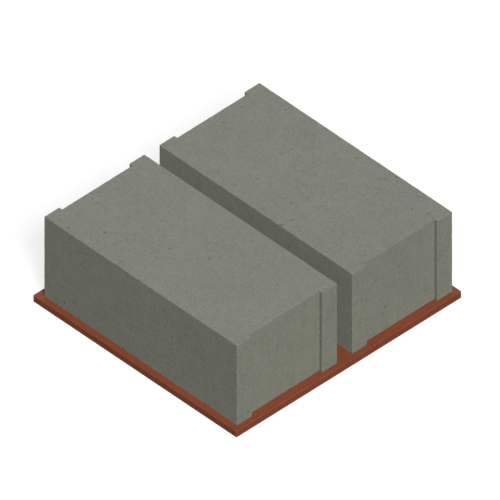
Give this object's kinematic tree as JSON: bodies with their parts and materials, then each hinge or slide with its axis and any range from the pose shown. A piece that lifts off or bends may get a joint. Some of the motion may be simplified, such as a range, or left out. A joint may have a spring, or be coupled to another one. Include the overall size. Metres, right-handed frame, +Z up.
{
  "type": "pallet of concrete blocks",
  "caption": "Thin production board carrying plain solid concrete blocks side by side, each with a shallow full-height recess in both ends.",
  "frame": {"origin": "centre of the board's underside, where the loaded board meets the ground", "axes": "+Z up, +X along the blocks towards their front ends, +Y across the blocks"},
  "size_m": [0.422, 0.45, 0.162],
  "materials": {
    "painted_board": "matte",
    "concrete": "matte"
  },
  "bodies": {
    "root": {"production_board": "painted_board", "block_left": "concrete", "block_right": "concrete"}
  },
  "joints": []
}
